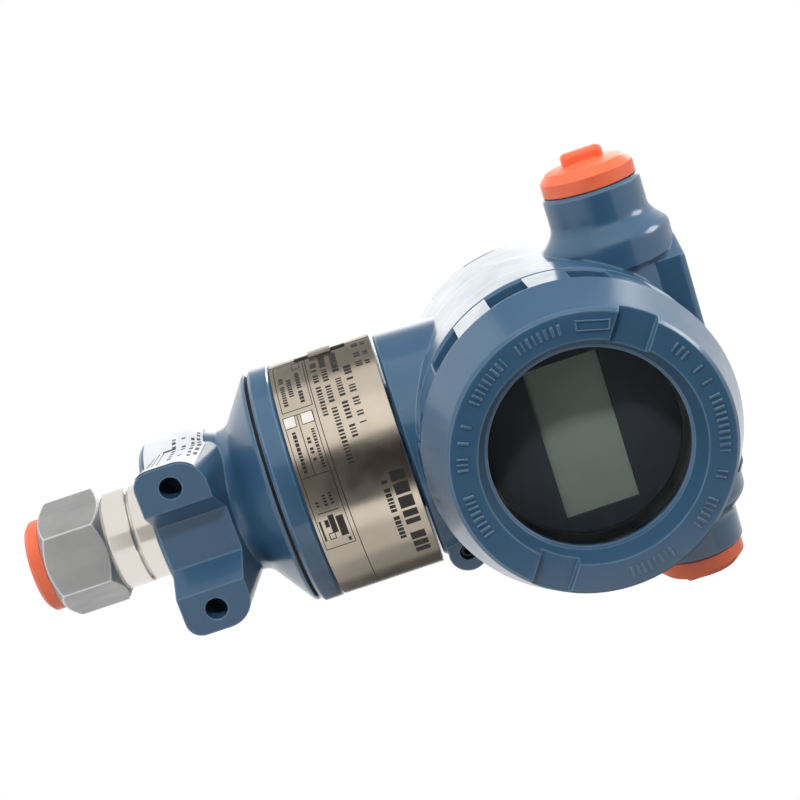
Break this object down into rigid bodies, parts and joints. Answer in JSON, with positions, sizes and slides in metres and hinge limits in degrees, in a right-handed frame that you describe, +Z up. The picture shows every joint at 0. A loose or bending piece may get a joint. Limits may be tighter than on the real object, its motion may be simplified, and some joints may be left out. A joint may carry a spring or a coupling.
{
  "type": "pressure transmitter",
  "caption": "In-line pressure transmitter: stainless process connection, painted sensor module with bracket ears, and a swivelling two-compartment head with display window.",
  "frame": {"origin": "centre of the open end of the process connection, on the stem's axis", "axes": "+Z up the stem towards the head; -Y out of the display window and the bracket ears; the cable entries point along -X and +X"},
  "size_m": [0.1412, 0.1132, 0.2181],
  "materials": {
    "blue_paint": "satin enamel over cast aluminium",
    "bare_steel": "machined stainless steel, satin",
    "polished_steel": "polished stainless steel",
    "plate_steel": "brushed stainless strip",
    "screw_steel": "plain stainless steel",
    "contact_brass": "plated brass",
    "black_rubber": "matte elastomer",
    "window_glass": "clear toughened glass",
    "lcd_cell": "grey-green liquid crystal cell",
    "black_plastic": "moulded plastic",
    "circuit_board": "solder-masked board",
    "orange_plastic": "moulded polyethylene",
    "label_stock": "white film label"
  },
  "bodies": {
    "module": {"process_connection": "bare_steel", "isolating_diaphragm": "polished_steel", "sensor_capsule": "polished_steel", "header_pins": "contact_brass", "module_base": "blue_paint", "seam_gasket": "black_rubber", "module_board": "circuit_board", "board_retainer": "screw_steel", "module_shell": "blue_paint", "module_connector": "black_plastic", "neck_seal": "black_rubber", "nameplate_band": "plate_steel", "band_clip": "plate_steel", "ear_label": "label_stock"},
    "head": {"housing": "blue_paint", "housing_set_screw": "screw_steel", "board_standoffs": "screw_steel", "board_screws": "screw_steel", "main_board": "circuit_board", "display_housing": "black_plastic", "lcd_panel": "lcd_cell", "display_board": "circuit_board", "terminal_block": "black_plastic", "terminal_screws": "screw_steel", "terminal_clamps": "contact_brass", "block_screws": "screw_steel", "feedthrough": "black_plastic"},
    "front_thread": {"front_cover_seal": "black_rubber"},
    "front_cover": {"front_cover": "blue_paint", "cover_glass": "window_glass", "glass_gasket": "black_rubber", "glass_ring": "screw_steel"},
    "rear_thread": {"rear_cover_seal": "black_rubber"},
    "rear_cover": {"rear_cover": "blue_paint"},
    "left_plug": {"conduit_plug_left": "orange_plastic"},
    "right_plug": {"conduit_plug_right": "orange_plastic"},
    "cap": {"process_cap": "orange_plastic"}
  },
  "joints": [
    {"name": "head_swivel", "type": "hinge", "parent": "module", "child": "head", "pos_m": [0, 0, 0.1154], "axis": [0, 0, 1], "range_deg": [-180, 180]},
    {"name": "front_cover_travel", "type": "slide", "parent": "head", "child": "front_thread", "axis": [0, -1, 0], "range_m": [0, 0.0101]},
    {"name": "front_cover_turn", "type": "hinge", "parent": "front_thread", "child": "front_cover", "pos_m": [0, -0.0345, 0.1632], "axis": [0, -1, 0], "range_deg": [0, 1800]},
    {"name": "rear_cover_travel", "type": "slide", "parent": "head", "child": "rear_thread", "axis": [0, 1, 0], "range_m": [0, 0.0101]},
    {"name": "rear_cover_turn", "type": "hinge", "parent": "rear_thread", "child": "rear_cover", "pos_m": [0, 0.026, 0.1632], "axis": [0, 1, 0], "range_deg": [0, 1800]},
    {"name": "left_plug_pull", "type": "slide", "parent": "head", "child": "left_plug", "axis": [-1, 0, 0], "range_m": [0, 0.014]},
    {"name": "right_plug_pull", "type": "slide", "parent": "head", "child": "right_plug", "axis": [1, 0, 0], "range_m": [0, 0.014]},
    {"name": "process_cap_pull", "type": "slide", "parent": "module", "child": "cap", "axis": [0, 0, -1], "range_m": [0, 0.014]}
  ],
  "couplings": [
    {"joint": "front_cover_travel", "follows": "front_cover_turn", "m_per_rad": 0.00031831},
    {"joint": "rear_cover_travel", "follows": "rear_cover_turn", "m_per_rad": 0.00031831}
  ]
}
